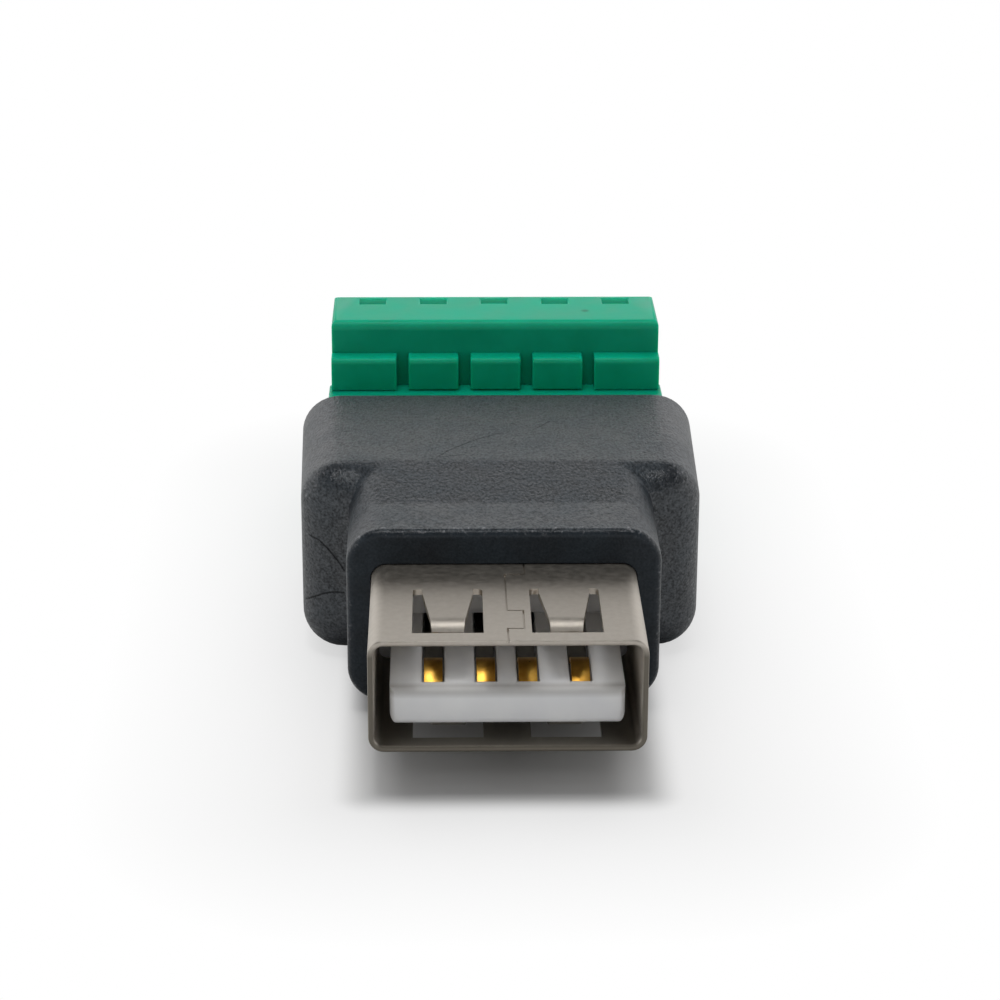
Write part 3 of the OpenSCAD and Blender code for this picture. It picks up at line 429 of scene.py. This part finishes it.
def softened(node, name, body, slot, radius=None, convex_only=False, first=(), shaped=None):
    """A copy of a solid with its sharp edges rounded as far as such a piece has them.

    Radii are in millimetres. First holds pairs of a radius and a test for its edges, which are rounded before
    the others, and shaped changes the copy before any edge is rounded.
    """
    bm = bmesh.new()
    bm.from_mesh(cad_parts[node].data)
    bmesh.ops.remove_doubles(bm, verts=bm.verts, dist=SAME_CORNER)
    bmesh.ops.dissolve_limit(bm, angle_limit=radians(1), verts=bm.verts, edges=bm.edges)
    if shaped:
        shaped(bm)
    roundings = list(first) + ([(radius, lambda edge: True)] if radius else [])
    for size, wanted in roundings:
        edges = [e for e in bm.edges if len(e.link_faces) == 2 and e.calc_face_angle() > SHARP
                 and (e.is_convex or not convex_only) and wanted(e)]
        for group in joined_groups(edges):
            bmesh.ops.bevel(bm, geom=group, offset=size * MM, offset_type="OFFSET", affect="EDGES",
                            segments=3, profile=0.5, material=-1, clamp_overlap=True, loop_slide=True)
    bmesh.ops.dissolve_degenerate(bm, dist=SAME_CORNER, edges=bm.edges)
    folded = [e for e in bm.edges if len(e.link_faces) == 2 and e.calc_face_angle() > FOLDED]
    bmesh.ops.dissolve_edges(bm, edges=folded, use_verts=True)
    finish_piece(name, bm, body, slot, node)


softened("overmould_housing", "moulded_housing", "socket", "black_overmould", HOUSING_EDGE, convex_only=True)
softened("usb_shell", "socket_shell", "socket", "nickel_plate",
         first=((MOUTH_INNER_EDGE, inside_mouth), (MOUTH_OUTER_EDGE, outside_mouth)))
softened("usb_insulator", "socket_tongue", "socket", "white_plastic")
for contact in ("power", "data_minus", "data_plus", "ground"):
    softened("usb_contact_" + contact, "socket_contact_" + contact, "socket", "gilt_contact", CONTACT_EDGE)
softened("header_body", "header", "socket", "green_plastic", BLOCK_EDGE, convex_only=True)
softened("plug_body", "plug", "plug", "green_plastic", BLOCK_EDGE, convex_only=True, shaped=scoop_notches)
for pole in range(1, POLES + 1):
    softened("header_pin_%d" % pole, "pin_%d" % pole, "socket", "tinned_pin", PIN_EDGE)
    softened("plug_contact_%d" % pole, "clamp_bar_%d" % pole, "plug", "contact_alloy", PIN_EDGE)
    softened("clamp_cage_%d" % pole, "cage_%d" % pole, "cage_%d" % pole, "cage_plate", CLAMP_EDGE)
    softened("terminal_screw_%d" % pole, "screw_%d" % pole, "screw_%d" % pole, "screw_steel", CLAMP_EDGE)
# The board is a plain sheet inside the housing, so its own solid is shown.
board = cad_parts["circuit_board"]
board.data.materials.clear()
board.data.materials.append(FINISH["board_laminate"])


# A large floor of pale paper: plain and without shine. Away from the part the camera sees it as white, and
# under and beside the part it keeps the shadow.
def pale_floor():
    half_side = 1.5
    near_mm, near_share, far_mm, far_share = 2, 0.55, 14, 0.45
    mat, tree, place = new_material("pale_studio_floor")
    beside = add(tree, "ShaderNodeVectorMath", {0: place}, operation="ABSOLUTE")
    beyond = add(tree, "ShaderNodeVectorMath", {0: beside, 1: (SHELL_SIDE, PLUG_REAR, 0)},
                 operation="SUBTRACT")
    outside = add(tree, "ShaderNodeVectorMath", {0: beyond, 1: (0, 0, 0)}, operation="MAXIMUM")
    away = add(tree, "ShaderNodeVectorMath", {0: outside}, operation="LENGTH")
    near = add(tree, "ShaderNodeMapRange", {"Value": away, "From Max": near_mm * MM, "To Max": near_share},
               interpolation_type="SMOOTHSTEP")
    far = add(tree, "ShaderNodeMapRange", {"Value": away, "From Max": far_mm * MM, "To Max": far_share})
    white_share = add(tree, "ShaderNodeMath", {0: near, 1: far}, operation="ADD")
    ray = add(tree, "ShaderNodeLightPath").outputs
    seen = add(tree, "ShaderNodeMath", {0: ray["Is Camera Ray"], 1: white_share}, operation="MULTIPLY")
    sheet = add(tree, "ShaderNodeBsdfDiffuse", {"Color": linear("#D0D0D0")})
    white = add(tree, "ShaderNodeEmission", {"Color": (1, 1, 1, 1), "Strength": 1.0})
    mixed = add(tree, "ShaderNodeMixShader", {0: seen, 1: sheet, 2: white})
    add(tree, "ShaderNodeOutputMaterial", {"Surface": mixed})
    bm = bmesh.new()
    bmesh.ops.create_grid(bm, x_segments=1, y_segments=1, size=half_side)
    mesh = bpy.data.meshes.new("studio_floor")
    bm.to_mesh(mesh)
    bm.free()
    mesh.materials.append(mat)
    floor = bpy.data.objects.new("studio_floor", mesh)
    bpy.context.scene.collection.objects.link(floor)


def studio_world():
    """A white surround for the camera. Mirrored, it is a pale band round the horizon under a dim ceiling."""
    front_level, back_level, ceiling_level, soft_level = 0.9, 0.98, 0.06, 0.38
    world = bpy.data.worlds.new("studio")
    world.use_nodes = True
    tree = world.node_tree
    tree.nodes.clear()
    towards = add(tree, "ShaderNodeTexCoord").outputs["Generated"]
    axes = add(tree, "ShaderNodeSeparateXYZ", {"Vector": towards}).outputs
    horizon = add(tree, "ShaderNodeMapRange", {"Value": axes["Y"], "From Min": -0.5, "From Max": 0.5,
                                               "To Min": front_level, "To Max": back_level})
    mirrored = add(tree, "ShaderNodeMapRange", {"Value": axes["Z"], "From Min": 0.43, "From Max": 0.72,
                                                "To Min": horizon, "To Max": ceiling_level},
                   interpolation_type="SMOOTHSTEP")
    ray = add(tree, "ShaderNodeLightPath").outputs
    reflected = add(tree, "ShaderNodeMix", {"Factor": ray["Is Glossy Ray"], "A": soft_level, "B": mirrored})
    level = add(tree, "ShaderNodeMix", {"Factor": ray["Is Camera Ray"], "A": reflected, "B": 1.0})
    back = add(tree, "ShaderNodeBackground", {"Color": (1, 1, 1, 1), "Strength": level})
    add(tree, "ShaderNodeOutputWorld", {"Surface": back})
    bpy.context.scene.world = world


# Square lamps: place and side in metres, power in watts, and whether shiny surfaces mirror the lamp.
LAMPS = {
    "overhead_softbox": ((0.0, 0.25, 0.45), 0.6, 2.1, False),
    "front_softbox": ((-0.05, -0.42, 0.27), 0.3, 0.24, False),
    "ceiling_lamp": ((-0.03, -0.02, 0.45), 0.1, 0.35, True),
}
LAMP_AIM = Vector((0, 0, 0.005))


def lamp(name, place, side, power, mirrored):
    """A square lamp that shines on the part."""
    light = bpy.data.lights.new(name, "AREA")
    light.shape = "SQUARE"
    light.size = side
    light.energy = power
    holder = bpy.data.objects.new(name, light)
    bpy.context.scene.collection.objects.link(holder)
    holder.visible_glossy = mirrored
    holder.location = place
    holder.rotation_euler = (LAMP_AIM - Vector(place)).to_track_quat("-Z", "Y").to_euler()


pale_floor()
studio_world()
for name, settings in LAMPS.items():
    lamp(name, *settings)

# The camera as fitted to the socket in the photo: place in metres, angles in radians, lens in millimetres.
CAMERA_PLACE = (-0.0030731, -0.1403201, 0.0615671)
CAMERA_TURN, CAMERA_DIP, CAMERA_ROLL = -0.0222, 0.372, 0.0044
CAMERA_LENS, CAMERA_SENSOR = 101.784, 36

camera_data = bpy.data.cameras.new("camera")
camera_data.sensor_width = CAMERA_SENSOR
camera_data.lens = CAMERA_LENS
camera_data.clip_start = 5 * MM
camera = bpy.data.objects.new("camera", camera_data)
bpy.context.scene.collection.objects.link(camera)
camera.matrix_world = (Matrix.Translation(CAMERA_PLACE) @ Matrix.Rotation(CAMERA_TURN, 4, "Z")
                       @ Matrix.Rotation(pi / 2 - CAMERA_DIP, 4, "X") @ Matrix.Rotation(CAMERA_ROLL, 4, "Z"))
bpy.context.scene.camera = camera
bpy.context.scene.view_settings.view_transform = "Standard"
